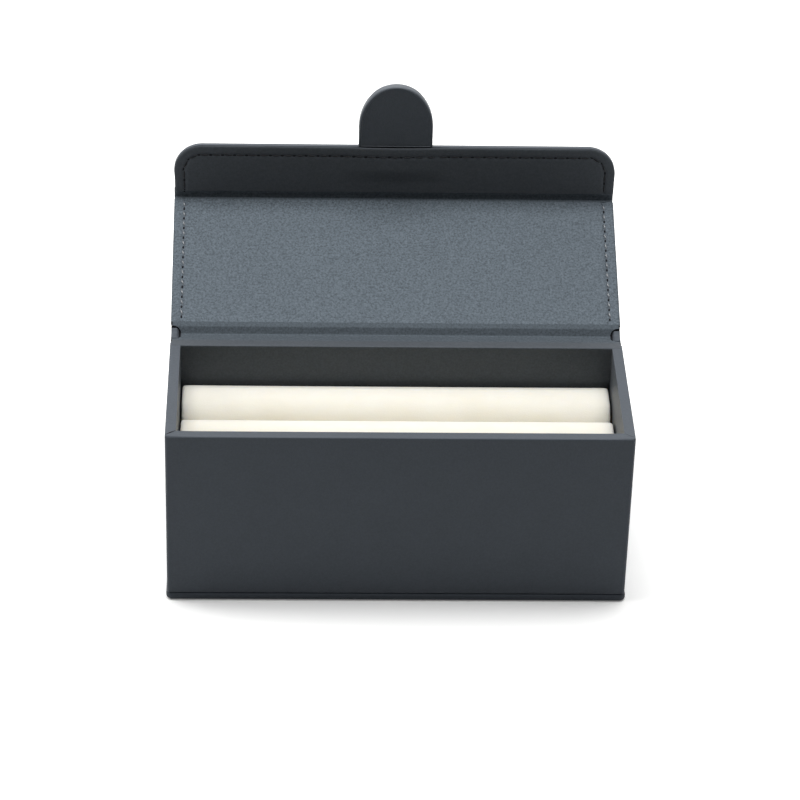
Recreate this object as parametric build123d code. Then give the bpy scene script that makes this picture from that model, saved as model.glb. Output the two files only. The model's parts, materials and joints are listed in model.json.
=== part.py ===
from build123d import *
import os
from math import atan2, cos, radians, sin, tan

# Ring box: a wrapped board case with a padded insert and a folding lid.
# Millimetres. X runs along the box, -Y is its front, +Z is up.
# The origin is the middle of the underside. The lid stands open as it rests.

# Case
case_length = 130.0
case_depth = 50.0
case_height = 55.5
wall = 3.0
wrap = 0.5
lining = 0.5
spine = 0.5
case_corner = 0.9
rim_round = 0.4
mitre_gap = 0.2
floor_thickness = 2.0

# Base plate under the case
base_height = 2.4
base_lip = 0.3
base_corner = 1.8
base_edge = 0.9
base_skin = 0.4

# Padded insert: three covered foam rolls on a card, with a ring slot between neighbours
card = 1.0
card_fit = 0.3
rim_to_roll = 12.2
roll_fit = 0.3
roll_end_fit = 0.5
slot_gap = 0.5
slot_round = 6.7
wall_round = 1.75
roll_end_bulge = 0.6
roll_end_round = 1.2
velvet = 0.7
core_fit = 0.1

# Lid and flap panels: lining inside, board between, skin outside
panel_lining = 0.4
panel_board = 1.4
panel_skin = 0.4
panel_edge = 0.35
lid_gap = 0.6
flap_gap = 0.9
lid_open = 156.0
flap_fold = 66.0

# Hinge gutter behind the rear rim, and the crease between lid and flap
gutter = 6.8
hinge_flat = 3.7
hinge_dip = 0.4
hinge_bend = 1.6
notch_depth = 2.6
notch_start = 1.0
notch_end = 5.4
notch_round = 2.0
crease_lid_side = 0.4
crease_flap_side = 2.4

# Flap, its pull tab and the magnetic catch
flap_length = 17.4
flap_corner = 8.5
swell_height = 0.6
swell_half_width = 16.0
swell_length = 7.0
swell_taper = 5.0
tab_width = 21.7
tab_reach = 19.7
tab_tip = 13.2
tab_tip_radius = 9.45
tab_thickness = 2.6
tab_set_back = 0.5
tab_edge = 0.9
tab_skin = 0.5
tongue_width = 18.0
tongue_length = 6.0
tongue_thickness = 0.8
tongue_fit = 0.1
magnet_diameter = 10.0
magnet_thickness = 1.0
magnet_from_tip = 8.0
catch_diameter = 12.0
catch_thickness = 0.8
disc_fit = 0.1

# Worked out from the sizes above
panel = panel_lining + panel_board + panel_skin
half_length = case_length / 2
half_depth = case_depth / 2
inner_half_length = half_length - wall
inner_half_depth = half_depth - wall
floor_top = base_height + floor_thickness
inside_floor = floor_top + lining
roll_base = inside_floor + card
roll_height = case_height - rim_to_roll - roll_base
roll_width = (2 * inner_half_depth - 2 * roll_fit - 2 * slot_gap) / 3
roll_length = 2 * inner_half_length - 2 * roll_end_fit
roll_pitch = roll_width + slot_gap
hinge_axis = Axis((0, half_depth, case_height), (-1, 0, 0))
lid_inner_z = case_height + lid_gap
lid_reach = case_depth + flap_gap
crease_axis = Axis((0, half_depth - lid_reach, lid_inner_z), (-1, 0, 0))
tab_start = flap_length + tongue_fit
tab_end = flap_length + tab_reach
catch_z = lid_inner_z - (tab_end - magnet_from_tip)


def block(x0, x1, y0, y1, z0, z1):
    """A box between two corners."""
    return Pos((x0 + x1) / 2, (y0 + y1) / 2, (z0 + z1) / 2) * Box(x1 - x0, y1 - y0, z1 - z0)


def disc_y(diameter, y0, y1, z):
    """A disc that lies in an upright wall, with its axis along Y."""
    return Pos(0, (y0 + y1) / 2, z) * Rot(90, 0, 0) * Cylinder(diameter / 2, y1 - y0)


# ---------------------------------------------------------------- base plate

def plate_slab(inset):
    """The base plate's slab, drawn in all round by inset."""
    length = case_length + 2 * (base_lip - inset)
    depth = case_depth + 2 * (base_lip - inset)
    outline = RectangleRounded(length, depth, max(base_corner - inset, 0.2))
    return Pos(0, 0, inset) * extrude(outline, base_height - 2 * inset)


def base_parts():
    """A square-cut board, and the wrap that rounds its edges off."""
    board = plate_slab(base_skin)
    plate = plate_slab(0)
    edges = plate.edges().group_by(Axis.Z)
    plate = fillet(edges[0] + edges[-1], min(base_edge, 0.45 * base_height))
    return {"base_board": board, "base_wrap": plate - board}


# ---------------------------------------------------------------- case walls

def wall_boards():
    """Front, back and side boards butted at the corners, on a floor board."""
    top = case_height - wrap
    x_out, x_in = half_length - wrap, half_length - wall + lining
    y_out, y_in = half_depth - wrap, half_depth - wall + lining
    back_out = y_out - spine
    front = block(-x_out, x_out, -y_out, -y_in, base_height, top)
    front -= disc_y(catch_diameter + 2 * disc_fit, -y_out, catch_thickness - y_out, catch_z)
    back = block(-x_out, x_out, y_in, back_out, base_height, top)
    left = block(-x_out, -x_in, -y_in, y_in, base_height, top)
    right = block(x_in, x_out, -y_in, y_in, base_height, top)
    floor = block(-x_in, x_in, -y_in, y_in, base_height, floor_top)
    plate = disc_y(catch_diameter, -y_out, catch_thickness - y_out, catch_z)
    return {
        "front_board": front,
        "back_board": back,
        "left_board": left,
        "right_board": right,
        "floor_board": floor,
        "catch_plate": plate,
    }


def mitre_cut(side_x, side_y):
    """A thin diagonal slit through the rim wrap at one corner."""
    angle = 45 if side_x * side_y > 0 else -45
    slit = Box(2 * wall, mitre_gap, wrap)
    middle = (half_length - wall / 2) * side_x, (half_depth - wall / 2) * side_y
    return Pos(middle[0], middle[1], case_height) * Rot(0, 0, angle) * slit


def body_wrap():
    """Outer skin round the four walls, turned over the rim and mitred at its corners."""
    depth = case_depth - spine
    middle_y = -spine / 2
    tall = case_height - base_height
    outer = Pos(0, middle_y, base_height) * extrude(RectangleRounded(case_length, depth, case_corner), tall)
    outer = fillet(outer.edges().group_by(Axis.Z)[0] + outer.edges().group_by(Axis.Z)[-1], rim_round)
    x_in, y_in = inner_half_length, inner_half_depth
    outer -= block(-x_in, x_in, -y_in, y_in, base_height, case_height)
    y_front, y_back = -(half_depth - wrap), half_depth - spine - wrap
    hollow = block(wrap - half_length, half_length - wrap, y_front, y_back, base_height, case_height - wrap)
    skin = outer - hollow
    rear_rim = block(wrap - half_length, half_length - wrap, y_in, half_depth, case_height - wrap, case_height)
    skin -= rear_rim
    for side_x, side_y in ((-1, -1), (1, -1)):
        skin -= mitre_cut(side_x, side_y)
    return skin


def inner_lining():
    """Floor, front and side lining, open towards the back wall's own sheet."""
    x_out, x_in = inner_half_length + lining, inner_half_length
    y_front = -(inner_half_depth + lining)
    y_back = inner_half_depth
    top = case_height - wrap
    sheet = block(-x_out, x_out, y_front, y_back, floor_top, top)
    room = block(-x_in, x_in, y_front + lining, y_back, inside_floor, top)
    return sheet - room


def back_lining():
    """The lid's lining sheet where it runs over the rear rim and down the back wall."""
    x_out = half_length - wrap
    down = block(-x_out + wall - lining, x_out - wall + lining, inner_half_depth,
                 inner_half_depth + lining, floor_top, case_height - wrap)
    over = block(-x_out, x_out, inner_half_depth, half_depth, case_height - wrap, case_height)
    inner_edge = over.edges().filter_by(Axis.X).sort_by(Axis.Z)[-2:].sort_by(Axis.Y)[0]
    return down + fillet(inner_edge, rim_round)


def spine_skin():
    """The outer sheet that carries the hinge, glued down the back of the case."""
    x_out = half_length - case_corner
    sheet = block(-x_out, x_out, half_depth - spine, half_depth, base_height, case_height - wrap)
    ends = sheet.edges().filter_by(Axis.Z).sort_by(Axis.Y)[-2:]
    return fillet(ends, 0.6 * spine)


# ---------------------------------------------------------------- padded insert

def roll_form(slot_sides, wall_side, inset):
    """A foam roll: flat sided, round where it meets a slot, with bulging ends.

    slot_sides holds the sides, -1 front or 1 back, that face a slot.
    """
    width = roll_width - 2 * inset
    height = roll_height - inset
    length = roll_length - 2 * inset
    round_slot = min(slot_round, 0.475 * roll_width) - inset
    round_wall = max(wall_round - inset, 0.4)
    body = block(-length / 2, length / 2, -width / 2, width / 2, 0, height)
    top = body.faces().sort_by(Axis.Z)[-1].edges().filter_by(Axis.X).sort_by(Axis.Y)
    for side, edge in ((-1, top[0]), (1, top[-1])):
        if side in slot_sides:
            body = fillet(find_edge(body, edge), round_slot)
        elif side == wall_side:
            body = fillet(find_edge(body, edge), round_wall)
    return body & end_bulge(length, width, height)


def find_edge(body, edge):
    """The edge of body that lies where edge lay before an earlier fillet."""
    place = edge.center()
    return body.edges().filter_by(Axis.X).sort_by_distance(place)[0]


def end_bulge(length, width, height):
    """An upright block whose two ends are gentle arcs in plan."""
    x_mid, x_edge, y = length / 2, length / 2 - roll_end_bulge, width / 2
    right = ThreePointArc((x_edge, -y), (x_mid, 0), (x_edge, y))
    back = Line((x_edge, y), (-x_edge, y))
    left = ThreePointArc((-x_edge, y), (-x_mid, 0), (-x_edge, -y))
    front = Line((-x_edge, -y), (x_edge, -y))
    solid = extrude(make_face(Curve() + [right, back, left, front]), height)
    return fillet(solid.faces().sort_by(Axis.Z)[-1].edges().filter_by(GeomType.CIRCLE), roll_end_round)


def insert_parts():
    card_x = inner_half_length - card_fit
    card_y = inner_half_depth - card_fit
    parts = {"insert_card": block(-card_x, card_x, -card_y, card_y, inside_floor, roll_base)}
    rolls = (("front", (1,), -1), ("middle", (-1, 1), 0), ("rear", (-1,), 1))
    for index, (name, slot_sides, wall_side) in enumerate(rolls):
        place = Pos(0, (index - 1) * roll_pitch, roll_base)
        cover = roll_form(slot_sides, wall_side, 0) - roll_form(slot_sides, wall_side, velvet)
        parts[name + "_roll_cover"] = place * cover
        parts[name + "_roll_core"] = place * roll_form(slot_sides, wall_side, velvet + core_fit)
    return parts


# ---------------------------------------------------------------- lid and flap
# A panel is drawn shut: s runs from the hinge to the front, n outwards from the inner face.

def slab(half_width, s0, s1, n0, n1):
    y0, y1 = half_depth - s1, half_depth - s0
    return block(-half_width, half_width, y0, y1, lid_inner_z + n0, lid_inner_z + n1)


def open_lid(shape):
    """Swing a piece from the shut lid to the lid as it rests."""
    return shape.rotate(hinge_axis, lid_open)


def fold_flap(shape):
    """Fold a piece of the straight flap to its rest angle, then swing it with the lid."""
    return open_lid(shape.rotate(crease_axis, -flap_fold))


def lid_parts():
    s0, s1 = gutter, lid_reach - crease_lid_side
    sheet = slab(half_length, s0, s1, 0, panel_lining)
    side_edges = sheet.edges().filter_by(Axis.Y).group_by(Axis.Z)[0]
    board = slab(half_length - panel_skin, s0, s1, panel_lining, panel - panel_skin)
    cover = slab(half_length, s0, s1, panel_lining, panel) - board
    cover_edges = cover.edges().filter_by(Axis.Y).group_by(Axis.Z)[-1]
    return {
        "lid_board": open_lid(board),
        "lid_lining": open_lid(fillet(side_edges, panel_edge)),
        "lid_skin": open_lid(fillet(cover_edges, panel_edge)),
    }


def flap_outline(inset, n0, n1):
    """The flap's outline with its two rounded outer corners, drawn in by inset."""
    half_width = half_length - inset
    s0, s1 = lid_reach + crease_flap_side, lid_reach + flap_length - inset
    form = slab(half_width, s0, s1, n0, n1)
    corners = form.edges().filter_by(Axis.Z).group_by(Axis.Y)[0]
    return fillet(corners, flap_corner - inset)


def outline_edges(form, n):
    """The flap's outer edges at height n, without the straight one at the crease."""
    level = form.edges().filter_by(lambda e: abs(e.center().Z - lid_inner_z - n) < 1e-4)
    crease_y = half_depth - lid_reach - crease_flap_side
    return level.filter_by(lambda e: e.center().Y < crease_y - 1e-3)


def swell():
    """The low swelling of the flap's lining over the tab's tongue, which tapers off inwards."""
    half_width = swell_half_width
    s1 = lid_reach + flap_length
    s_full = s1 - swell_length
    sections = []
    for s, rise in ((s_full - swell_taper, 0.04 * swell_height), (s_full, swell_height), (s1, swell_height)):
        plane = Plane(origin=(0, half_depth - s, lid_inner_z), x_dir=(1, 0, 0), z_dir=(0, -1, 0))
        arc = ThreePointArc((-half_width, 0), (0, -rise), (half_width, 0))
        sections.append(plane * make_face(Curve() + [arc, Line((half_width, 0), (-half_width, 0))]))
    return loft(sections, ruled=True)


def tongue(fit):
    """The tab's thin root, which is sewn in between the flap's board and its lining."""
    s1 = lid_reach + flap_length
    n0 = swell_height - panel_lining
    half_width = tongue_width / 2 + fit
    return slab(half_width, s1 - tongue_length - fit, s1 + 2 * tongue_fit, -n0, tongue_thickness - n0)


def flap_parts():
    sheet = flap_outline(0, 0, panel_lining)
    sheet = fillet(outline_edges(sheet, 0), panel_edge)
    sheet = sheet + swell() - tongue(tongue_fit)
    board = flap_outline(panel_skin, panel_lining, panel - panel_skin)
    cover = flap_outline(0, panel_lining, panel) - board
    cover = fillet(outline_edges(cover, panel), panel_edge)
    return {
        "flap_board": fold_flap(board - tongue(tongue_fit)),
        "flap_lining": fold_flap(sheet),
        "flap_skin": fold_flap(cover - tongue(tongue_fit)),
    }


def tab_outline(inset):
    """Plan of the tab: straight sides that run into an arch of three tangent arcs."""
    half_width = tab_width / 2 - inset
    tip = tab_tip - inset
    tip_radius = tab_tip_radius - inset
    tip_centre = tip - tip_radius
    side_radius = (half_width**2 + tip**2 - 2 * tip * tip_radius) / (2 * (half_width - tip_radius))
    turn = atan2(tip_centre, side_radius - half_width)
    join = tip_radius * cos(turn), tip_centre + tip_radius * sin(turn)
    side = half_width - side_radius * (1 - cos(turn / 2)), side_radius * sin(turn / 2)
    root = inset - (tab_end - tab_tip - tab_start)
    outline = [
        Line((-half_width, root), (half_width, root)),
        Line((half_width, root), (half_width, 0)),
        ThreePointArc((half_width, 0), side, join),
        ThreePointArc(join, (0, tip), (-join[0], join[1])),
        ThreePointArc((-join[0], join[1]), (-side[0], side[1]), (-half_width, 0)),
        Line((-half_width, 0), (-half_width, root)),
    ]
    y_arch = half_depth - lid_reach - tab_end + tab_tip
    return Pos(0, y_arch) * mirror(make_face(Curve() + outline), Plane.XZ)


def tab_slab(inset, n0, n1):
    return Pos(0, 0, lid_inner_z + n0) * extrude(tab_outline(inset), n1 - n0)


def tab_parts():
    n0, n1 = tab_set_back, tab_set_back + tab_thickness
    hollow = tab_slab(tab_skin, n0 + tab_skin, n1 - tab_skin)
    cover = tab_slab(0, n0, n1)
    rims = cover.edges().filter_by(GeomType.LINE, reverse=True)
    cover = fillet(rims, tab_edge) - hollow + tongue(0)
    magnet_y = half_depth - lid_reach - tab_end + magnet_from_tip
    magnet_z = lid_inner_z + n0 + tab_skin
    seat = Pos(0, magnet_y, magnet_z + magnet_thickness / 2)
    magnet = seat * Cylinder(magnet_diameter / 2, magnet_thickness)
    core = hollow - seat * Cylinder(magnet_diameter / 2 + disc_fit, magnet_thickness)
    return {
        "tab_skin": fold_flap(cover),
        "tab_core": fold_flap(core),
        "tab_magnet": fold_flap(magnet),
    }


# ---------------------------------------------------------------- bending strips
# Drawn as they rest, in the upright plane across the box.

def turned(y, z, angle):
    """The pair (y, z) turned about -X, which is the way the lid opens."""
    a = radians(angle)
    return y * cos(a) + z * sin(a), z * cos(a) - y * sin(a)


def lid_point(s, n):
    """A point of the resting lid as (y, z)."""
    y, z = turned(-s, lid_gap + n, lid_open)
    return half_depth + y, case_height + z


def flap_point(t, n):
    """A point of the resting flap, t beyond the crease, as (y, z)."""
    y, z = turned(-t, n, -flap_fold)
    return lid_point(lid_reach - y, z)


def strip(top, bottom, radii_top, radii_bottom, half_width):
    """A sheet across the box between two rounded paths of (y, z) points."""
    upper = FilletPolyline(*top, radius=radii_top) if len(top) > 2 else Line(*top)
    lower = FilletPolyline(*bottom, radius=radii_bottom) if len(bottom) > 2 else Line(*bottom)
    ends = [Line(top[-1], bottom[-1]), Line(bottom[0], top[0])]
    plane = Plane(origin=(0, 0, 0), x_dir=(0, 1, 0), z_dir=(1, 0, 0))
    return extrude(plane * make_face(Curve() + [upper, lower] + ends), half_width, both=True)


def shifted(a, b, c, depth):
    """Corner b of the path a-b-c, moved to the right of the path by depth."""
    first = (Vector(*b) - Vector(*a)).normalized()
    second = (Vector(*c) - Vector(*b)).normalized()
    turn = radians(first.get_angle(second))
    middle = (first + second).normalized()
    side = Vector(middle.Y, -middle.X) * (depth / cos(turn / 2))
    return b[0] + side.X, b[1] + side.Y


def hinge_parts():
    """Lining and skin in the gutter: flat behind the rim, then rising to the lid."""
    rim_edge = (half_depth, case_height)
    valley = (half_depth + hinge_flat, case_height - hinge_dip)
    lid_edge = lid_point(gutter, 0)
    under_rim = (half_depth, case_height - panel_lining)
    under_valley = shifted(rim_edge, valley, lid_edge, panel_lining)
    under_lid = lid_point(gutter, panel_lining)
    sheet = strip((rim_edge, valley, lid_edge), (under_rim, under_valley, under_lid),
                  hinge_bend, hinge_bend + panel_lining, half_length - wrap)
    for side in (-1, 1):
        edge_x = side * (half_length - wrap)
        middle_y = half_depth + (notch_start + notch_end) / 2
        hole = RectangleRounded(2 * notch_depth, notch_end - notch_start, notch_round)
        sheet -= Pos(edge_x, middle_y, case_height - wall) * extrude(hole, 3 * wall)
    low_rim = (half_depth, case_height - panel_lining - spine)
    low_valley = shifted(rim_edge, valley, lid_edge, panel_lining + panel_skin)
    low_lid = lid_point(gutter, panel)
    skin = strip((under_rim, under_valley, under_lid), (low_rim, low_valley, low_lid),
                 hinge_bend + panel_lining, hinge_bend + panel_lining + panel_skin, half_length - wrap)
    return {"hinge_lining": sheet, "hinge_skin": skin}


def crease_parts():
    """Lining and skin that bend between the lid's board and the flap's."""
    lid_edge = lid_reach - crease_lid_side
    corner = flap_point(0, 0)
    inner = (lid_point(lid_edge, 0), corner, flap_point(crease_flap_side, 0))
    bend = panel_lining / tan(radians(90 - flap_fold / 2))
    outer_corner = flap_point(-bend, panel_lining)
    outer = (lid_point(lid_edge, panel_lining), outer_corner, flap_point(crease_flap_side, panel_lining))
    sheet = strip(inner, outer, 0.25 * crease_lid_side, 0.25 * crease_lid_side + panel_lining,
                  half_length - panel_edge)
    return {"crease_lining": sheet, "crease_skin": crease_skin(lid_edge)}


def crease_skin(lid_edge):
    """The outer skin round the fold, with its bend centred on the crease."""
    plane = Plane(origin=(0, 0, 0), x_dir=(0, 1, 0), z_dir=(1, 0, 0))
    rings = []
    for n in (panel, panel - panel_skin):
        half_turn = radians(flap_fold / 2)
        middle = flap_point(-n * sin(half_turn), n * cos(half_turn))
        arc = ThreePointArc(lid_point(lid_reach, n), middle, flap_point(0, n))
        rings.append([Line(lid_point(lid_edge, n), lid_point(lid_reach, n)), arc,
                      Line(flap_point(0, n), flap_point(crease_flap_side, n))])
    n0, n1 = panel - panel_skin, panel
    ends = [Line(lid_point(lid_edge, n0), lid_point(lid_edge, n1)),
            Line(flap_point(crease_flap_side, n0), flap_point(crease_flap_side, n1))]
    face = plane * make_face(Curve() + rings[0] + rings[1] + ends)
    return extrude(face, half_length, both=True)


def main():
    os.makedirs("parts", exist_ok=True)
    parts = {}
    parts.update(base_parts())
    parts.update(wall_boards())
    parts["body_wrap"] = body_wrap()
    parts["inner_lining"] = inner_lining()
    parts["back_lining"] = back_lining()
    parts["spine_skin"] = spine_skin()
    parts.update(insert_parts())
    parts.update(lid_parts())
    parts.update(flap_parts())
    parts.update(tab_parts())
    parts.update(hinge_parts())
    parts.update(crease_parts())
    for name, shape in parts.items():
        export_step(shape, "parts/" + name + ".step")


main()
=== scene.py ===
import json
from math import acos, atan2, cos, exp, pi, radians, sin, sqrt

import bpy
from mathutils import Matrix, Vector


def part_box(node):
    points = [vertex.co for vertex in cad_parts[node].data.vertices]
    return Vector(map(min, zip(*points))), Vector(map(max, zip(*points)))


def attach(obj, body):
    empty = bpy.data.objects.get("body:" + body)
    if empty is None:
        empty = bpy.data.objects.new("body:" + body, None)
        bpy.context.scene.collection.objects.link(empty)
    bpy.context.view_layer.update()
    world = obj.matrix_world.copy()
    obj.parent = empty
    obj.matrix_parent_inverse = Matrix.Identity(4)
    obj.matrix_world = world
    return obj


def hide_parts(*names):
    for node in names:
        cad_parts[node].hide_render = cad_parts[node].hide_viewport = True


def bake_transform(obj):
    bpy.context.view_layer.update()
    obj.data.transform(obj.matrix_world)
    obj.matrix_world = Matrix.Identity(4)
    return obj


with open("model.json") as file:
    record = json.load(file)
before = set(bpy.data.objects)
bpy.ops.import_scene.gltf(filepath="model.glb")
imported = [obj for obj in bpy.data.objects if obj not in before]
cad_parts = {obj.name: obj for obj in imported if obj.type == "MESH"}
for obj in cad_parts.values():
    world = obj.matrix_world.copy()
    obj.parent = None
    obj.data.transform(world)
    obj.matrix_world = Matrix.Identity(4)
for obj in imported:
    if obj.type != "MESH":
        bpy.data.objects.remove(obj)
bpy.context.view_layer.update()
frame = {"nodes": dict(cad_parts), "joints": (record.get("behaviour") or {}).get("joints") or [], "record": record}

# Ring box with a folding lid, in metres. X runs along the box, -Y is its front, +Z is up.
MM = 0.001

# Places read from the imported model
hinge = Vector(frame["joints"][0]["pos_m"])
crease = Vector(frame["joints"][1]["pos_m"])
half_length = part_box("body_wrap")[1].x

# Lid and flap panels
lid_tilt = radians(24)
lid_along = Vector((0, cos(lid_tilt), sin(lid_tilt)))
lid_inward = Vector((0, -sin(lid_tilt), cos(lid_tilt)))
lid_gap = -(crease - hinge).dot(lid_inward)
lid_reach = (crease - hinge).dot(lid_along)
panel_lining = 0.4 * MM
panel_skin = 0.4 * MM
panel = 2.2 * MM
curl_width = 0.7 * MM
curl_drop = 0.3 * MM
cover_round = 0.4 * MM
sheet_edge = 0.12 * MM
crease_edge = 0.1 * MM
cover_overlap = 0.03 * MM
gutter = 6.8 * MM
crease_lid_side = 0.4 * MM
crease_flap_side = 2.4 * MM
flap_length = 17.4 * MM
flap_corner = 8.5 * MM
flap_kink = 0.25 * MM
flap_kink_reach = 2.5 * MM
swell_height = 0.6 * MM
swell_half_width = 16 * MM
swell_start = 5.4 * MM
swell_full = 10.4 * MM

# Seams
seam_inset = 3.0 * MM
seam_depth = 0.14 * MM
seam_width = 0.55 * MM
stitch_pitch = 3.5 * MM
stitch_length = 2.7 * MM
lid_thread_radius = 0.29 * MM
flap_thread_radius = 0.24 * MM
stitch_slant = radians(14)
hole_radius = 0.45 * MM
hole_lift = 0.075 * MM
hole_height = 0.12 * MM

# Pull tab
tab_half_width = 10.85 * MM
tab_tip = 13.2 * MM
tab_tip_radius = 9.45 * MM
tab_reach = 19.7 * MM
tab_thickness = 2.6 * MM
tab_set_back = 0.5 * MM
tab_back_round = 0.4 * MM
tab_tip_rim = 0.5 * MM
tab_side_rim = 0.85 * MM
tab_face_sink = 0.1 * MM

# Rim of the case
wall = 3.0 * MM
rim_round = 0.4 * MM
fold_lift = 0.12 * MM
fold_set_back = 1.1 * MM

# Velvet rolls
roll_slot_round = 6.7 * MM
roll_wall_round = 1.2 * MM
roll_end_round = 0.35 * MM
roll_shrink = 0.25 * MM
roll_voxel = 0.9 * MM
roll_swell = 0.3 * MM

# Light
sky_strength = 0.08
floor_glow = 0.14
floor_gain = 0.22
floor_bounce = 0.55

# Hinge gutter, measured backwards and downwards from the rim's outer edge
hinge_flat = 3.7 * MM
hinge_dip = 0.45 * MM
notch_depth = 2.6 * MM
notch_start = 1.0 * MM
notch_end = 5.4 * MM
dome_length_share = 0.88
dome_width = 0.92 * notch_depth
dome_shift = 0.25 * MM
dome_height = 0.62 * MM
dome_foot = 0.12 * MM


# ---------------------------------------------------------------- making meshes

def begin():
    """Leave edit mode and drop every selection."""
    if bpy.context.object and bpy.context.object.mode != "OBJECT":
        bpy.ops.object.mode_set(mode="OBJECT")
    bpy.ops.object.select_all(action="DESELECT")


def pick(obj):
    begin()
    obj.select_set(True)
    bpy.context.view_layer.objects.active = obj


def grid(name, columns, rows, place):
    """A grid whose point (u, v), each from 0 to 1, lies at place(u, v)."""
    begin()
    bpy.ops.mesh.primitive_grid_add(x_subdivisions=columns, y_subdivisions=rows, size=2)
    obj = bpy.context.object
    obj.name = name
    for vertex in obj.data.vertices:
        vertex.co = place((vertex.co.x + 1) / 2, (vertex.co.y + 1) / 2)
    return obj


def select_edges(obj, test):
    """In edit mode, select the edges whose two ends both pass the test, which takes a vertex."""
    bpy.ops.object.mode_set(mode="OBJECT")
    mesh = obj.data
    chosen = [test(v) for v in mesh.vertices]
    for item in list(mesh.polygons) + list(mesh.edges) + list(mesh.vertices):
        item.select = False
    for edge in mesh.edges:
        edge.select = chosen[edge.vertices[0]] and chosen[edge.vertices[1]]
    for vertex in mesh.vertices:
        vertex.select = chosen[vertex.index]
    bpy.ops.object.mode_set(mode="EDIT")
    bpy.ops.mesh.select_mode(type="EDGE")


def modifier(obj, kind, **settings):
    """Add a modifier, set it and apply it."""
    pick(obj)
    added = obj.modifiers.new(kind.lower(), kind)
    for key, value in settings.items():
        setattr(added, key, value)
    bpy.ops.object.modifier_apply(modifier=added.name)


def smooth(obj, angle=35):
    pick(obj)
    bpy.ops.object.shade_smooth_by_angle(angle=radians(angle))


def crowd(share):
    """A place from -1 to 1 across a sheet, with the columns crowded towards both borders."""
    side = 2 * share - 1
    return side * (1.5 - 0.5 * side * side)


def groove(inside):
    """Depth of the seam's groove at a distance inside a panel's border."""
    return seam_depth * exp(-(((inside - seam_inset) / seam_width) ** 2))


def rolled(inside, width, drop):
    """How far a sheet's border rounds over, at a distance inside it."""
    near = max(0, 1 - max(0, inside) / width)
    return drop * (1 - sqrt(1 - near * near))


def curl(inside):
    return rolled(inside, curl_width, curl_drop)


def cover_height(inside):
    """Height of an outer cover's face at a distance inside its turned-up border."""
    return -panel + groove(inside) + rolled(inside, cover_round, cover_round)


def lay(obj, origin, along, inward):
    """Move a piece modelled flat, as (x, along, up), to where its panel rests."""
    across = Vector((1, 0, 0))
    turn = Matrix((across, along, inward)).transposed().to_4x4()
    obj.data.transform(Matrix.Translation(origin) @ turn)
    obj.data.update()


def lay_on_lid(obj):
    lay(obj, hinge - lid_gap * lid_inward, lid_along, lid_inward)


def lay_on_flap(obj):
    lay(obj, crease, Vector((0, 0, 1)), Vector((0, -1, 0)))


def border_of(obj):
    """The numbers of the vertices on a sheet's open border."""
    uses = {}
    for face in obj.data.polygons:
        for key in face.edge_keys:
            uses[key] = uses.get(key, 0) + 1
    return {v for key, count in uses.items() if count == 1 for v in key}


def thicken(obj, thickness, edge, keep_square):
    """Give a sheet its thickness behind its face, and round its front border."""
    border = {i for i in border_of(obj) if not keep_square(obj.data.vertices[i].co)}
    modifier(obj, "SOLIDIFY", thickness=thickness, offset=-1, use_even_offset=True)
    pick(obj)
    select_edges(obj, lambda v: v.index in border)
    bpy.ops.mesh.bevel(offset=edge, segments=3, affect="EDGES", clamp_overlap=True)
    bpy.ops.object.mode_set(mode="OBJECT")


def ease(x):
    """A smooth step from 0 to 1 as x goes from 0 to 1."""
    x = min(max(x, 0), 1)
    return x * x * (3 - 2 * x)


# ---------------------------------------------------------------- materials

class Wire:
    """An output of one node; arithmetic on it adds Math nodes."""

    def __init__(self, finish, socket):
        self.finish = finish
        self.socket = socket

    def maths(self, operation, first, second):
        return self.finish.node("ShaderNodeMath", {"operation": operation}, {0: first, 1: second})

    def __add__(self, other):
        return self.maths("ADD", self, other)

    def __radd__(self, other):
        return self.maths("ADD", other, self)

    def __sub__(self, other):
        return self.maths("SUBTRACT", self, other)

    def __rsub__(self, other):
        return self.maths("SUBTRACT", other, self)

    def __mul__(self, other):
        return self.maths("MULTIPLY", self, other)

    def __rmul__(self, other):
        return self.maths("MULTIPLY", other, self)


class Finish:
    """A material, and the one way to add nodes to it."""

    def __init__(self, name):
        self.material = bpy.data.materials.new(name)
        self.material.use_nodes = True
        self.tree = self.material.node_tree
        self.tree.nodes.clear()

    def node(self, kind, settings=None, values=None, output=0):
        added = self.tree.nodes.new(kind)
        for key, value in (settings or {}).items():
            if key == "stops":
                self.set_stops(added.color_ramp, value)
            else:
                setattr(added, key, value)
        for key, value in (values or {}).items():
            if isinstance(value, Wire):
                self.tree.links.new(value.socket, added.inputs[key])
            else:
                added.inputs[key].default_value = value
        return Wire(self, added.outputs[output]) if len(added.outputs) else None

    def set_stops(self, ramp, stops):
        while len(ramp.elements) < len(stops):
            ramp.elements.new(0.5)
        for element, (place, colour) in zip(ramp.elements, stops):
            element.position = place
            element.color = colour

    def place(self):
        return self.node("ShaderNodeTexCoord", output=3)

    def noise(self, where, size, detail=2.0, roughness=0.5):
        """Noise whose features are about as large as size, in metres."""
        values = {"Vector": where, "Scale": 1 / size, "Detail": detail, "Roughness": roughness}
        return self.node("ShaderNodeTexNoise", {}, values)

    def cells(self, where, size, feature="F1"):
        values = {"Vector": where, "Scale": 1 / size}
        return self.node("ShaderNodeTexVoronoi", {"feature": feature}, values)

    def ramp(self, factor, stops):
        return self.node("ShaderNodeValToRGB", {"stops": stops}, {"Fac": factor})

    def mix(self, factor, first, second):
        values = {0: factor, 6: first, 7: second}
        return self.node("ShaderNodeMix", {"data_type": "RGBA"}, values, output=2)

    def bump(self, height, distance, strength=1.0, under=None):
        values = {"Height": height, "Distance": distance, "Strength": strength}
        if under:
            values["Normal"] = under
        return self.node("ShaderNodeBump", {}, values)

    def surface(self, **values):
        named = {key.replace("_", " "): value for key, value in values.items()}
        shader = self.node("ShaderNodeBsdfPrincipled", {}, named)
        self.node("ShaderNodeOutputMaterial", {}, {"Surface": shader})
        return self.material


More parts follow.
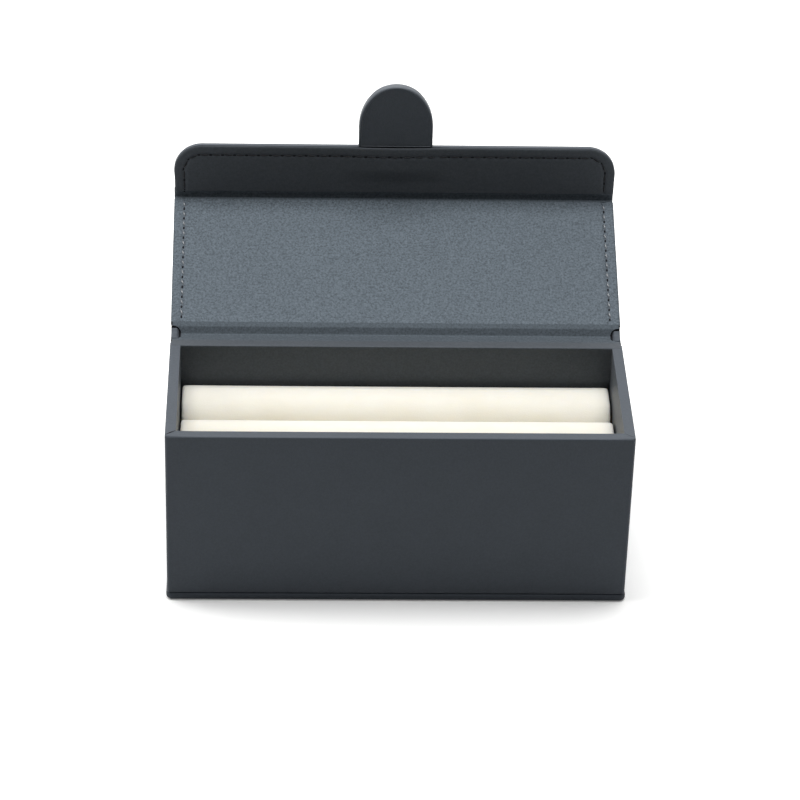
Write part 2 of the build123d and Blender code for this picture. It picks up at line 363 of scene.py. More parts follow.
def shade(colour, factor):
    return tuple(c * factor for c in colour) + (1,)


def leatherette(name, colour, tint, roughness, fleck):
    """Fine-grained leatherette: pebbled grain, a soft mottle and a pearly fleck."""
    finish = Finish(name)
    where = finish.place()
    pebbles = finish.cells(where, 0.55 * MM)
    pores = finish.noise(where, 0.3 * MM, detail=3)
    mottle = finish.noise(where, 9 * MM, detail=3)
    flecks = finish.noise(where, 0.6 * MM, detail=4, roughness=0.75)
    tone = finish.ramp(mottle, [(0.3, shade(colour, 0.93)), (0.7, shade(colour, 1.07))])
    speckle = finish.ramp(flecks, [(0.36, shade((1, 1, 1), 0)), (0.64, shade((1, 1, 1), 1))])
    light = finish.mix(speckle, shade(colour, 1 - fleck), shade(colour, 1 + fleck))
    paint = finish.mix(0.6, tone, light)
    grain = pebbles * -0.6 + pores * 0.5
    normal = finish.bump(grain, 0.06 * MM, 0.55)
    gloss = roughness + (pores - 0.5) * 0.12
    return finish.surface(Base_Color=paint, Roughness=gloss, Normal=normal,
                          Specular_IOR_Level=0.27, Specular_Tint=tint)


def velvet():
    """Short-pile ivory velvet: a soft nap that leans this way and that."""
    finish = Finish("ivory velvet")
    where = finish.place()
    nap = finish.noise(where, 14 * MM, detail=2)
    pile = finish.noise(where, 0.35 * MM, detail=2)
    tone = finish.ramp(nap, [(0.3, (0.83, 0.8, 0.71, 1)), (0.7, (0.87, 0.845, 0.77, 1))])
    paint = finish.mix(pile * 0.35, tone, (0.76, 0.71, 0.58, 1))
    normal = finish.bump(pile, 0.15 * MM, 0.35)
    return finish.surface(Base_Color=paint, Roughness=0.95, Normal=normal,
                          Sheen_Weight=0.5, Sheen_Roughness=0.5, Subsurface_Weight=0.5,
                          Subsurface_Radius=(1.0, 0.9, 0.7), Subsurface_Scale=5 * MM)


def thread_finish(name, colour, gloss):
    """Dark waxed thread with a twisted lay, which glints under the lamp where it is glossy."""
    finish = Finish(name)
    lay_of_strands = finish.noise(finish.place(), 0.3 * MM)
    paint = finish.ramp(lay_of_strands, [(0.3, shade(colour, 0.6)), (0.7, shade(colour, 1.3))])
    normal = finish.bump(lay_of_strands, 0.05 * MM, 0.4)
    return finish.surface(Base_Color=paint, Roughness=0.28, Normal=normal, Specular_IOR_Level=gloss)


def painted_shade_finish():
    """Near-black painted shade: the shade deep in a needle hole, along a fold line or in a cut edge."""
    finish = Finish("dark cleft")
    shadow = finish.noise(finish.place(), 0.4 * MM)
    paint = finish.ramp(shadow, [(0.3, (0.004, 0.004, 0.006, 1)), (0.7, (0.012, 0.013, 0.016, 1))])
    return finish.surface(Base_Color=paint, Roughness=0.9, Specular_IOR_Level=0.15)


def board_finish(name, colour):
    """Pressed board with short fibres."""
    finish = Finish(name)
    where = finish.place()
    fibres = finish.noise(where, 0.8 * MM, detail=5, roughness=0.7)
    paint = finish.ramp(fibres, [(0.3, shade(colour, 0.8)), (0.7, shade(colour, 1.15))])
    normal = finish.bump(fibres, 0.1 * MM, 0.5)
    return finish.surface(Base_Color=paint, Roughness=0.9, Normal=normal)


def plated_steel():
    finish = Finish("plated steel")
    where = finish.place()
    brushing = finish.noise(where, 0.4 * MM, detail=4)
    paint = finish.ramp(brushing, [(0.3, (0.5, 0.5, 0.5, 1)), (0.7, (0.62, 0.62, 0.63, 1))])
    return finish.surface(Base_Color=paint, Metallic=1.0, Roughness=0.3 + brushing * 0.2)


outer_leather = leatherette("outer leatherette", (0.059, 0.067, 0.079), (0.78, 0.89, 1, 1), 0.5, 0.11)
# The lining's strong fleck is partly its pearly grain and partly painted glints of its pearl sheen, which show
# only where the lamp falls.
inner_leather = leatherette("lining leatherette", (0.069, 0.082, 0.095), (0.7, 0.86, 1, 1), 0.5, 0.95)
# A darker copy of the lining for the hinge gutter and the fold: painted shade where the leather runs down into the
# creases.
crease_shade_leather = leatherette("pressed leatherette", (0.058, 0.069, 0.08), (0.7, 0.86, 1, 1), 0.55, 0.6)
# A darker, more neutral copy of the lining with little fleck, for the flap and inner walls that stand in shade:
# painted shade.
shaded_lining = leatherette("smooth lining leatherette", (0.058, 0.064, 0.072), (0.74, 0.87, 1, 1), 0.5, 0.22)
# A darker copy of the outer leatherette for the base ledge, which lies in the box's shadow: painted shade.
shaded_outer = leatherette("smooth outer leatherette", (0.033, 0.038, 0.046), (0.78, 0.89, 1, 1), 0.5, 0.1)
# A lighter copy of the outer leatherette for the tab's rolled rim: painted highlight where the rim catches the
# lamp.
highlight_edge_leather = leatherette("painted_highlight leatherette edge", (0.085, 0.095, 0.108), (0.85, 0.93, 1, 1), 0.4, 0.12)
ivory_velvet = velvet()
thread = thread_finish("waxed thread", (0.06, 0.073, 0.09), 0.9)
# A near-black copy of the thread for the flap, which stands in shade: painted shade.
shaded_thread = thread_finish("shaded thread", (0.008, 0.009, 0.012), 0.2)
# Near-black painted shade for needle holes, fold lines and the grooves round the notch domes.
painted_shade = painted_shade_finish()
greyboard = board_finish("grey board", (0.33, 0.31, 0.29))
pale_card = board_finish("pale card", (0.7, 0.68, 0.62))
foam = board_finish("white foam", (0.8, 0.78, 0.72))
steel = plated_steel()

slot_finish = {
    "leatherette_outer": outer_leather,
    "leatherette_lining": inner_leather,
    "cream_velvet": ivory_velvet,
    "foam": foam,
    "greyboard": greyboard,
    "card": pale_card,
    "catch_steel": steel,
}

# The base ledge, the inner walls and the back lining take the darker copies that paint in their shade.
node_finish = {"base_wrap": shaded_outer, "inner_lining": shaded_lining, "back_lining": shaded_lining}


def dress_nodes():
    """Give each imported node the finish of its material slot."""
    for part in frame["record"]["subparts"]:
        node = frame["nodes"][part["node"]]
        node.data.materials.clear()
        node.data.materials.append(node_finish.get(part["node"], slot_finish[part["material_slot"]]))


def dress(obj, *finishes):
    obj.data.materials.clear()
    for finish in finishes:
        obj.data.materials.append(finish)


# ---------------------------------------------------------------- lid

def lid_lining():
    """The lid's inner sheet, with a shallow seam groove down each side."""
    start, stop = gutter, lid_reach - crease_lid_side

    def place(u, v):
        x = crowd(u) * half_length
        inside = half_length - abs(x)
        return Vector((x, start + v * (stop - start), -groove(inside) - curl(inside)))

    obj = grid("lid_lining_sheet", 320, 2, place)
    modifier(obj, "SOLIDIFY", thickness=panel_lining, offset=-1, use_even_offset=True)
    lay_on_lid(obj)
    smooth(obj)
    dress(obj, inner_leather)
    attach(obj, "lid")
    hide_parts("lid_lining")


def lid_cover():
    """The lid's outer skin, turned up round the board's two sides and its rear edge."""
    start, stop = gutter - cover_overlap, lid_reach - crease_lid_side

    def place(u, v):
        x, run = -crowd(u) * half_length, (stop - start) * v**3
        return Vector((x, start + run, cover_height(min(half_length - abs(x), run))))

    obj = grid("lid_cover", 320, 30, place)
    turn_up(obj, lambda c: abs(c.x) > half_length - 1e-6 or c.y < start + 1e-7)
    lay_on_lid(obj)
    smooth(obj)
    dress(obj, outer_leather)
    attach(obj, "lid")
    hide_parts("lid_skin")


def turn_up(obj, on_border):
    """Raise a wall from a cover's border to the lining, and thicken the cover inwards."""
    pick(obj)
    select_edges(obj, lambda v: on_border(v.co))
    rise = panel - panel_lining - 0.8 * curl_drop - cover_round
    bpy.ops.mesh.extrude_region_move(TRANSFORM_OT_translate={"value": (0, 0, rise)})
    bpy.ops.object.mode_set(mode="OBJECT")
    modifier(obj, "SOLIDIFY", thickness=panel_skin, offset=-1)


# ---------------------------------------------------------------- flap

def flap_edge(t, side):
    """Half the flap's width at t beyond the crease; the left side has a slight kink."""
    round_start = flap_length - flap_corner
    if t > round_start:
        run = min(t - round_start, flap_corner)
        return half_length - flap_corner + sqrt(max(flap_corner**2 - run**2, 0))
    kink = flap_kink if side < 0 else flap_kink / 3
    return half_length - kink * (1 - exp(-(round_start - t) / flap_kink_reach))


def flap_border_distance(x, t):
    """How far a point lies inside the flap's two sides, far edge and round corners."""
    round_start = flap_length - flap_corner
    over_x = abs(x) - (half_length - flap_corner)
    over_t = t - round_start
    if over_x > 0 and over_t > 0:
        return flap_corner - sqrt(over_x**2 + over_t**2)
    return min(flap_edge(t, 1 if x > 0 else -1) - abs(x), flap_length - t)


def on_flap_outline(spot):
    """Whether a point of the flap's sheet is on its two sides, far edge or round corners."""
    side = 1 if spot.x > 0 else -1
    return abs(abs(spot.x) - flap_edge(spot.y, side)) < 1e-6 or spot.y > flap_length - 1e-6


def flap_point(u, v):
    """(x, t) for a point of the flap's grid, with close rows near the far edge."""
    t = crease_flap_side + (flap_length - crease_flap_side) * sin(v * pi / 2)
    side = crowd(u)
    return side * flap_edge(t, side), t


def swell(x, t):
    """Height of the lining over the tab's root."""
    across = max(0, 1 - (x / swell_half_width) ** 2)
    return swell_height * across**1.2 * ease((t - swell_start) / (swell_full - swell_start))


def flap_lining():
    def place(u, v):
        x, t = flap_point(u, v)
        inside = flap_border_distance(x, t)
        return Vector((x, t, swell(x, t) - groove(inside) - curl(inside)))

    obj = grid("flap_lining_sheet", 320, 60, place)
    modifier(obj, "SOLIDIFY", thickness=panel_lining, offset=-1)
    lay_on_flap(obj)
    smooth(obj)
    # The flap's lining takes the darker copy of the lining: painted shade.
    dress(obj, shaded_lining)
    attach(obj, "flap")
    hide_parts("flap_lining")


def flap_cover():
    def place(u, v):
        x, t = flap_point(1 - u, v)
        return Vector((x, t, cover_height(flap_border_distance(x, t))))

    obj = grid("flap_cover", 260, 44, place)
    turn_up(obj, on_flap_outline)
    lay_on_flap(obj)
    smooth(obj)
    dress(obj, outer_leather)
    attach(obj, "flap")
    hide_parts("flap_skin")


# ---------------------------------------------------------------- pull tab

def tab_outline(inset, steps):
    """Points round the tab as (x, t): straight sides that run into three tangent arcs."""
    width = tab_half_width - inset
    tip = tab_tip - inset
    tip_radius = tab_tip_radius - inset
    side_radius = (width**2 + tip**2 - 2 * tip * tip_radius) / (2 * (width - tip_radius))
    tip_centre = tip - tip_radius
    join = atan2(tip_centre, side_radius - width)
    arch = flap_length + tab_reach - tab_tip
    root = flap_length - tab_set_back + inset
    right = [(width, root)]
    for i in range(steps):
        a = join * i / steps
        right.append((width - side_radius * (1 - cos(a)), arch + side_radius * sin(a)))
    for i in range(steps + 1):
        a = join + (pi / 2 - join) * i / steps
        right.append((tip_radius * cos(a), arch + tip_centre + tip_radius * sin(a)))
    left = [(-x, t) for x, t in reversed(right[:-1])]
    return right + left


def tab_levels():
    """The tab's section from back to front as (share of the rim, share of the back round, height)."""
    front, back = -tab_set_back, -tab_set_back - tab_thickness
    levels = []
    for i in range(5):
        turn = pi / 2 * i / 4
        levels.append((0, 1 - sin(turn), back + tab_back_round * (1 - cos(turn))))
    for i in range(7):
        turn = pi / 2 * i / 6
        levels.append((1 - cos(turn), 0, front - tab_tip_rim * (1 - sin(turn))))
    levels.append((1.12, 0, front - tab_face_sink))
    return levels


def tab():
    """A padded leather tab with a soft rolled rim, drawn lighter as a painted highlight, and a face sunk a little
    inside it.
    """
    outline = tab_outline(0, 16)
    step = 0.5 * MM
    inner = tab_outline(step, 16)
    levels = tab_levels()
    count, rows = len(outline), len(levels) - 1

    def place(u, v):
        i = round(u * count) % count
        rim_share, back_share, height = levels[round(v * rows)]
        edge, within = Vector(outline[i]), Vector(inner[i])
        inward = (within - edge) / step
        sideways = inward.x**2 / inward.length_squared
        rim = tab_tip_rim + (tab_side_rim - tab_tip_rim) * sideways
        spot = edge + inward * (rim_share * rim + back_share * tab_back_round)
        return Vector((spot.x, spot.y, height))

    obj = grid("pull_tab", count, rows, place)
    pick(obj)
    bpy.ops.object.mode_set(mode="EDIT")
    bpy.ops.mesh.select_all(action="SELECT")
    bpy.ops.mesh.remove_doubles(threshold=1e-7)
    bpy.ops.mesh.select_all(action="SELECT")
    bpy.ops.mesh.fill_holes(sides=0)
    bpy.ops.mesh.select_all(action="SELECT")
    bpy.ops.mesh.normals_make_consistent(inside=False)
    bpy.ops.object.mode_set(mode="OBJECT")
    dress(obj, outer_leather, highlight_edge_leather)
    # Flat face and back take the outer leatherette; the rolled rim takes the lighter copy, a painted highlight.
    for face in obj.data.polygons:
        face.material_index = 0 if abs(face.normal.z) > 0.95 else 1
    lay_on_flap(obj)
    smooth(obj, 40)
    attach(obj, "flap")
    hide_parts("tab_skin")


# ---------------------------------------------------------------- bending strips

def rounded_path(points, radii, steps):
    """A path of (y, z) points with its inner corners rounded."""
    path = [Vector(points[0])]
    for before, corner, after, radius in zip(points, points[1:], points[2:], radii):
        corner = Vector(corner)
        back = (Vector(before) - corner).normalized()
        on = (Vector(after) - corner).normalized()
        half = acos(max(-1, min(1, back.dot(on)))) / 2
        reach = radius / max(0.05, sin(half) / cos(half))
        first, last = corner + back * reach, corner + on * reach
        for i in range(steps + 1):
            k = i / steps
            path.append((1 - k) ** 2 * first + 2 * k * (1 - k) * corner + k * k * last)
    path.append(Vector(points[-1]))
    return path


def spread(path, share):
    """The point at a share of a path's length."""
    lengths = [(b - a).length for a, b in zip(path, path[1:])]
    left = share * sum(lengths)
    for a, b, length in zip(path, path[1:], lengths):
        if left <= length:
            return a + (b - a) * (left / length)
        left -= length
    return path[-1]


def on_lid(s, n):
    """A point of the resting lid as (y, z), n outwards from its inner face."""
    spot = hinge + s * lid_along - (lid_gap + n) * lid_inward
    return spot.y, spot.z


def on_flap(t, n):
    return crease.y + n, crease.z + t


def hinge_lining():
    """The lining in the gutter, cut back in a round notch at each end."""
    rim = (hinge.y, hinge.z)
    valley = (hinge.y + hinge_flat, hinge.z - hinge_dip)
    drop = (hinge.y + 1.1 * MM, hinge.z - 0.24 * MM)
    shoulder = on_lid(gutter - 1.5 * MM, 0.28 * MM)
    path = rounded_path([rim, drop, valley, shoulder, on_lid(gutter, 0)], [0.6 * MM, 0.8 * MM, 1.0 * MM], 10)
    half = half_length - 0.5 * MM
    middle, reach = (notch_start + notch_end) / 2, (notch_end - notch_start) / 2

    def place(u, v):
        y, z = spread(path, v)
        inward = (y - hinge.y - middle) / reach
        bite = notch_depth * sqrt(max(0, 1 - min(1, abs(inward)) ** 2.6))
        return Vector((crowd(u) * (half - bite), y, z))

    obj = grid("hinge_lining_strip", 60, 48, place)
    thicken(obj, panel_lining, sheet_edge, lambda c: abs(c.x) < half - notch_depth - 1e-5)
    smooth(obj)
    # The gutter's lining takes the darker crease copy: painted shade.
    dress(obj, crease_shade_leather)
    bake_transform(obj)
    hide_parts("hinge_lining")


def hinge_skin():
    """The outer skin under the gutter, which fills out the two notches; the groove round each dome is painted
    near-black shade.
    """
    down = panel_lining
    rim = (hinge.y, hinge.z - down - 0.02 * MM)
    valley = (hinge.y + hinge_flat, hinge.z - hinge_dip - down)
    path = rounded_path([rim, valley, on_lid(gutter, panel_lining)], [2.2 * MM], 10)
    half = half_length - 0.15 * MM
    middle, reach = (notch_start + notch_end) / 2, (notch_end - notch_start) / 2

    def dome(x, y):
        across = (y - hinge.y - middle - dome_shift) / (dome_length_share * reach)
        inside = (abs(x) - (half_length - dome_width)) / dome_width
        return max(0, 1 - across**2) * ease(inside * 3) * (1 - 0.6 * ease((inside - 0.7) / 0.3))

    def place(u, v):
        y, z = spread(path, v)
        x = crowd(u) * half
        bump = dome(x, y)
        return Vector((x, y, z + dome_height * sqrt(bump) - dome_foot * (1 - ease(bump * 4))))

    obj = grid("hinge_skin_strip", 300, 60, place)
    dress(obj, outer_leather, painted_shade)
    modifier(obj, "SOLIDIFY", thickness=panel_skin, offset=-1)
    # Upward faces in the groove round each dome get the near-black painted shade.
    for face in obj.data.polygons:
        spot = face.center
        in_notch_shade = abs(spot.x) > half_length - notch_depth - 0.3 * MM and dome(spot.x, spot.y) < 0.03
        face.material_index = 1 if in_notch_shade and face.normal.z > 0.3 else 0
    smooth(obj)
    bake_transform(obj)
    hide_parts("hinge_skin")


def crease_lining():
    """The lining in the fold between lid and flap, pressed into a groove."""
    corners = [on_lid(lid_reach - crease_lid_side, 0), on_lid(lid_reach + 0.05 * MM, 0.05 * MM),
               on_flap(0.35 * MM, 0.8 * MM), on_flap(1.5 * MM, 0.55 * MM), on_flap(crease_flap_side, 0)]
    path = rounded_path(corners, [0.15 * MM, 0.3 * MM, 0.5 * MM], 6)
    half = half_length - 0.3 * MM

    def place(u, v):
        y, z = spread(path, v)
        return Vector(((2 * u - 1) * half, y, z))

    obj = grid("crease_lining_strip", 40, 40, place)
    thicken(obj, panel_lining, crease_edge, lambda c: abs(c.x) < half - 1e-6)
    smooth(obj, 60)
    # The fold's lining takes the darker crease copy: painted shade.
    dress(obj, crease_shade_leather)
    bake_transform(obj)
    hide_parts("crease_lining")


def crease_skin():
    """The outer skin round the fold."""
    out = panel
    points = [on_lid(lid_reach - crease_lid_side, out)]
    turn = pi / 2 - lid_tilt
    for i in range(13):
        angle = turn * i / 12
        away = Vector((0, sin(lid_tilt + angle), -cos(lid_tilt + angle)))
        points.append((crease.y + out * away.y, crease.z + out * away.z))
    points.append(on_flap(crease_flap_side, out))
    path = [Vector(p) for p in points]

    def place(u, v):
        y, z = spread(path, v)
        return Vector(((1 - 2 * u) * half_length, y, z))

    obj = grid("crease_skin_strip", 40, 36, place)
    thicken(obj, panel_skin, crease_edge, lambda c: abs(c.x) < half_length - 1e-6)
    smooth(obj, 60)
    dress(obj, outer_leather)
    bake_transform(obj)
    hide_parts("crease_skin")


# ---------------------------------------------------------------- rim corners

def fold_edge(side, share):
    """The folded edge at a front corner, from the rim's inner corner to its outer side and on to its front."""
    inner = Vector((side * (half_length - wall), wall - hinge.y))
    outer = Vector((side * (half_length - 0.9 * rim_round), fold_set_back - hinge.y))
    corner = Vector((outer.x, 0.9 * rim_round - hinge.y))
    if share > 0.75:
        return outer + (corner - outer) * ((share - 0.75) / 0.25)
    k = share / 0.75
    return inner + (outer - inner) * k + Vector((0, -0.12 * MM * sin(pi * k)))


def rim_fold(name, side, shadow_width):
    """The front rim's leather folded over the side's at one corner, with a painted shadow line along its edge."""
    reach = 5 * MM

    def place(u, v):
        left = fold_edge(side, v)
        right = Vector((side * (half_length - wall - reach), wall - hinge.y - v * (wall - 0.9 * rim_round)))
        spot = left + (right - left) * u
        return Vector((spot.x, spot.y, hinge.z + 0.01 * MM + fold_lift * (1 - u) ** 2))

    obj = grid(name, 24, 24, lambda u, v: place(u if side > 0 else 1 - u, v))
    modifier(obj, "SOLIDIFY", thickness=fold_lift, offset=-1)
    smooth(obj)
    dress(obj, outer_leather)
    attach(obj, "case")

    # A near-black strip along the fold's edge: painted shadow of the folded leather.
    def line(u, v):
        spot = fold_edge(side, 0.75 * v)
        width = shadow_width * sin(pi * (0.12 + 0.76 * v))
        return Vector((spot.x + side * width * u * 0.5, spot.y + width * u, hinge.z + 0.015 * MM))

    painted_shadow = grid(name + "_line", 2, 16, lambda u, v: line(u if side > 0 else 1 - u, v))
    modifier(painted_shadow, "SOLIDIFY", thickness=0.1 * MM, offset=-1)
    dress(painted_shadow, painted_shade)
    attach(painted_shadow, "case")


# ---------------------------------------------------------------- padded rolls

def padded_roll(name, slot_sides):
    """A velvet-covered foam roll, drawn a little small and swelled by a cloth simulation."""
    low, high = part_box(name + "_roll_cover")
    size, middle = high - low, (high + low) / 2
    begin()
    bpy.ops.mesh.primitive_cube_add(size=1, location=middle)
    obj = bpy.context.object
    obj.name = name + "_velvet_roll"
    obj.dimensions = size - Vector((0, 2 * roll_shrink, roll_shrink))
    obj.location.z -= roll_shrink / 2
    bpy.ops.object.transform_apply(location=True, rotation=True, scale=True)
    top = max(v.co.z for v in obj.data.vertices)
    for side in (-1, 1):
        turn = roll_slot_round if side in slot_sides else roll_wall_round
        select_edges(obj, lambda v: v.co.z > top - 1e-6 and (v.co.y - middle.y) * side > 0)
        bpy.ops.mesh.bevel(offset=turn - roll_shrink, segments=12, affect="EDGES", clamp_overlap=False)
    select_edges(obj, lambda v: abs(abs(v.co.x) - size.x / 2) < 1e-6)
    bpy.ops.mesh.bevel(offset=roll_end_round, segments=2, affect="EDGES", clamp_overlap=True)
    bpy.ops.object.mode_set(mode="OBJECT")
    modifier(obj, "REMESH", mode="VOXEL", voxel_size=roll_voxel)
    swell_roll(obj, roll_swell)
    modifier(obj, "SUBSURF", levels=1, render_levels=1)
    fit_box(obj, low, high)
    smooth(obj, 60)
    dress(obj, ivory_velvet)
    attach(obj, "case")
    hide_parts(name + "_roll_cover")


def swell_roll(obj, limit):
    """Blow the cover up from inside, and cap how far each point moves."""
    start = [v.co.copy() for v in obj.data.vertices]
    pick(obj)
    cloth = obj.modifiers.new("cloth", "CLOTH")
    cloth.settings.use_pressure = True
    cloth.settings.uniform_pressure_force = 4
    cloth.settings.effector_weights.gravity = 0
    cloth.settings.quality = 4
    for number in range(1, 13):
        bpy.context.scene.frame_set(number)
    bpy.ops.object.modifier_apply(modifier=cloth.name)
    bpy.context.scene.frame_set(1)
    for vertex, rest in zip(obj.data.vertices, start):
        move = vertex.co - rest
        if move.length > limit:
            vertex.co = rest + move * (limit / move.length)


def fit_box(obj, low, high):
    """Keep every point of a piece inside a box."""
    for vertex in obj.data.vertices:
        for axis in range(3):
            vertex.co[axis] = min(max(vertex.co[axis], low[axis]), high[axis])


# ---------------------------------------------------------------- stitching

def one_stitch(radius, slant, strand):
    """A stitch along Y: a short slanted thread that dips at both ends, with the needle hole it comes from drawn as
    a near-black cone of painted shade.
    """
    begin()
    bpy.ops.mesh.primitive_uv_sphere_add(segments=8, ring_count=6, radius=1)
    obj = bpy.context.object
    for vertex in obj.data.vertices:
        along, side, up = vertex.co.z, vertex.co.x, vertex.co.y
        dip = 0.9 * radius * along**2
        vertex.co = (side * radius, along * stitch_length / 2, up * radius * 0.8 - dip + 0.5 * radius)
    obj.data.transform(Matrix.Rotation(slant, 4, "Z"))
    dress(obj, strand, painted_shade)
    begin()
    # The needle hole: a near-black cone standing in for the shade inside the hole (painted shade).
    bpy.ops.mesh.primitive_cone_add(vertices=8, radius1=hole_radius, radius2=0.8 * hole_radius, depth=hole_height,
                                    location=(0, -stitch_pitch / 2, hole_lift - hole_height / 2))
    hole = bpy.context.object
    hole.scale = (0.75, 1.3, 1)
    bpy.ops.object.transform_apply(location=True, rotation=True, scale=True)
    dress(hole, strand, painted_shade)
    for face in hole.data.polygons:
        face.material_index = 1
    obj.select_set(True)
    bpy.context.view_layer.objects.active = obj
    bpy.ops.object.join()
    bpy.ops.object.mode_set(mode="EDIT")
    bpy.ops.mesh.select_all(action="SELECT")
    bpy.ops.mesh.normals_make_consistent(inside=False)
    bpy.ops.object.mode_set(mode="OBJECT")
    smooth(obj, 60)
    return obj


def stitch_row(name, pattern, spots, put_down, body):
    """Copies of one stitch at spots of (x, s, height, angle), joined into one piece."""
    copies = []
    for x, s, height, angle, face in spots:
        copy = bpy.data.objects.new(name, pattern.data.copy())
        bpy.context.scene.collection.objects.link(copy)
        turn = Matrix.Rotation(angle, 4, "Z")
        flip = Matrix.Rotation(pi, 4, "Y") if face < 0 else Matrix.Identity(4)
        copy.data.transform(Matrix.Translation((x, s, height)) @ flip @ turn)
        copies.append(copy)
    begin()
    for copy in copies:
        copy.select_set(True)
    bpy.context.view_layer.objects.active = copies[0]
    bpy.ops.object.join()
    row = copies[0]
    row.name = name
    put_down(row)
    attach(row, body)


def lid_seam_spots(face):
    spots = []
    count = int((lid_reach - crease_lid_side - gutter) / stitch_pitch)
    height = -seam_depth if face > 0 else -panel + seam_depth
    for side in (-1, 1):
        for i in range(count):
            s = lid_reach - crease_lid_side - (i + 0.5) * stitch_pitch
            spots.append((side * (half_length - seam_inset), s, height, 0, face))
    return spots


def flap_seam_path():
    """The seam's path on the flap as (x, t): up one side, round both corners and down the other."""
    x_side, t_top = half_length - seam_inset, flap_length - seam_inset
    radius = flap_corner - seam_inset
    path = [Vector((-x_side, crease_flap_side))]
    for centre, start in ((-(x_side - radius), pi), (x_side - radius, pi / 2)):
        for i in range(13):
            angle = start - (pi / 2) * i / 12
            path.append(Vector((centre + radius * cos(angle), t_top - radius + radius * sin(angle))))
    path.append(Vector((x_side, crease_flap_side)))
    return path


def flap_seam_spots(face):
    path = flap_seam_path()
    total = sum((b - a).length for a, b in zip(path, path[1:]))
    count = round(total / stitch_pitch)
    spots = []
    for i in range(count):
        here = spread(path, (i + 0.5) / count)
        ahead = spread(path, (i + 0.6) / count)
        way = ahead - here
        angle = atan2(way.y, way.x) - pi / 2
        height = swell(here.x, here.y) - seam_depth if face > 0 else -panel + seam_depth
        spots.append((here.x, here.y, height, angle if face > 0 else -angle, face))
    return spots


def stitching():
    slanted = one_stitch(lid_thread_radius, stitch_slant, thread)
    # The flap's stitches use the near-black painted-shade copy of the thread.
    sunken = one_stitch(flap_thread_radius, 0, shaded_thread)
    stitch_row("lid_stitches_inside", slanted, lid_seam_spots(1), lay_on_lid, "lid")
    stitch_row("lid_stitches_outside", slanted, lid_seam_spots(-1), lay_on_lid, "lid")
    stitch_row("flap_stitches_inside", sunken, flap_seam_spots(1), lay_on_flap, "flap")
    stitch_row("flap_stitches_outside", sunken, flap_seam_spots(-1), lay_on_flap, "flap")
    bpy.data.objects.remove(slanted)
    bpy.data.objects.remove(sunken)


# ---------------------------------------------------------------- stage, light and camera

def white_to_the_eye(finish):
    """1 for rays that look at the background straight, in a gloss or through glass."""
    rays = finish.node("ShaderNodeLightPath")
    outputs = rays.socket.node.outputs
    seen = Wire(finish, outputs["Is Camera Ray"]) + Wire(finish, outputs["Is Glossy Ray"])
    seen = seen + Wire(finish, outputs["Is Transmission Ray"])
    return finish.node("ShaderNodeMath", {"operation": "MINIMUM"}, {0: seen, 1: 1.0})


def floor():
    """A pale floor: its deep shade is kept, and the rest reads as white."""
    begin()
    bpy.ops.mesh.primitive_grid_add(x_subdivisions=2, y_subdivisions=2, size=6)
    obj = bpy.context.object
    obj.name = "floor"
    finish = Finish("pale floor")
    seen = white_to_the_eye(finish)
    grain = finish.noise(finish.place(), 4 * MM)
    paint = finish.ramp(grain, [(0.3, (0.9, 0.9, 0.89, 1)), (0.7, (0.92, 0.92, 0.91, 1))])
    matt = finish.node("ShaderNodeBsdfDiffuse", {}, {"Color": paint})
    dim = finish.node("ShaderNodeBsdfDiffuse", {}, {"Color": (floor_bounce, floor_bounce, floor_bounce, 1)})
    glow = finish.node("ShaderNodeEmission", {}, {"Strength": floor_glow})
    extra = finish.node("ShaderNodeBsdfDiffuse", {}, {"Color": (floor_gain, floor_gain, floor_gain, 1)})
    bright = finish.node("ShaderNodeAddShader", {}, {0: matt, 1: extra})
    lit = finish.node("ShaderNodeAddShader", {}, {0: bright, 1: glow})
    both = finish.node("ShaderNodeMixShader", {}, {0: seen, 1: dim, 2: lit})
    finish.node("ShaderNodeOutputMaterial", {}, {"Surface": both})
    dress(obj, finish.material)


class Sky(Finish):
    """The world's nodes."""

    def __init__(self):
        world = bpy.data.worlds.new("studio")
        bpy.context.scene.world = world
        world.use_nodes = True
        self.tree = world.node_tree
        self.tree.nodes.clear()


def sky():
    studio = Sky()
    seen = white_to_the_eye(studio)
    dim = studio.node("ShaderNodeBackground", {}, {"Color": (1, 1, 1, 1), "Strength": sky_strength})
    white = studio.node("ShaderNodeBackground", {}, {"Color": (1, 1, 1, 1), "Strength": 1.0})
    both = studio.node("ShaderNodeMixShader", {}, {0: seen, 1: dim, 2: white})
    studio.node("ShaderNodeOutputWorld", {}, {"Surface": both})


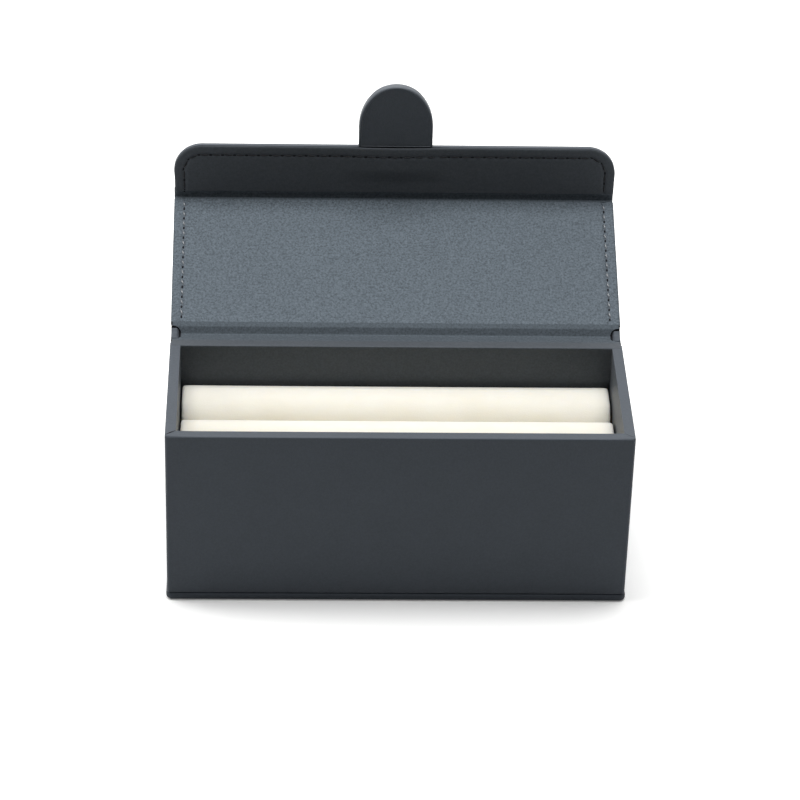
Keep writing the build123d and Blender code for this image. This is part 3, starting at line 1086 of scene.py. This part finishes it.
def lamp(name, place, aim, size, power):
    data = bpy.data.lights.new(name, "AREA")
    data.shape = "RECTANGLE"
    data.size, data.size_y = size
    data.energy = power
    obj = bpy.data.objects.new(name, data)
    bpy.context.scene.collection.objects.link(obj)
    obj.location = place
    obj.rotation_euler = (Vector(aim) - Vector(place)).to_track_quat("-Z", "Y").to_euler()


def camera():
    """The photograph's view: a long lens from a little to the right, looking down."""
    yaw, pitch, roll = 0.0418647, 0.5808027, -0.0295881
    focal_pixels, image_size, sensor = 3345.967, 800, 36
    target_x, target_up, distance = 0.46228 * MM, 43.27553 * MM, 972.3835 * MM
    ahead = Vector((0, cos(pitch), -sin(pitch)))
    up = Vector((0, sin(pitch), cos(pitch)))
    right = Vector((1, 0, 0))
    place = right * target_x + up * target_up - ahead * distance
    rolled_right = right * cos(roll) - up * sin(roll)
    rolled_up = right * sin(roll) + up * cos(roll)
    turn = Matrix.Rotation(-yaw, 4, "Z")
    basis = Matrix((rolled_right, rolled_up, -ahead)).transposed().to_4x4()
    data = bpy.data.cameras.new("camera")
    data.sensor_width = sensor
    data.lens = focal_pixels * sensor / image_size
    obj = bpy.data.objects.new("camera", data)
    bpy.context.scene.collection.objects.link(obj)
    obj.matrix_world = turn @ Matrix.Translation(place) @ basis
    bpy.context.scene.camera = obj


# ---------------------------------------------------------------- the whole scene

camera()
floor()
sky()
lamp("overhead softbox", (-0.03, 0.09, 0.9), (-0.03, 0.09, 0), (0.8, 0.4), 9.0)
lamp("back softbox", (0, 0.95, 0.6), (0, 0, 0.05), (1.4, 0.5), 3.8)
lamp("left strip", (-0.7, 0.2, 0.35), (0, 0, 0.05), (0.3, 0.5), 2.4)
lamp("right strip", (0.7, 0.2, 0.35), (0, 0, 0.05), (0.3, 0.5), 0.8)
bpy.context.scene.view_settings.view_transform = "Standard"

dress_nodes()
lid_lining()
lid_cover()
flap_lining()
flap_cover()
tab()
hinge_lining()
hinge_skin()
crease_lining()
crease_skin()
rim_fold("left_rim_fold", -1, 0.42 * MM)
rim_fold("right_rim_fold", 1, 0.12 * MM)
padded_roll("front", (1,))
padded_roll("middle", (-1, 1))
padded_roll("rear", (-1,))
stitching()
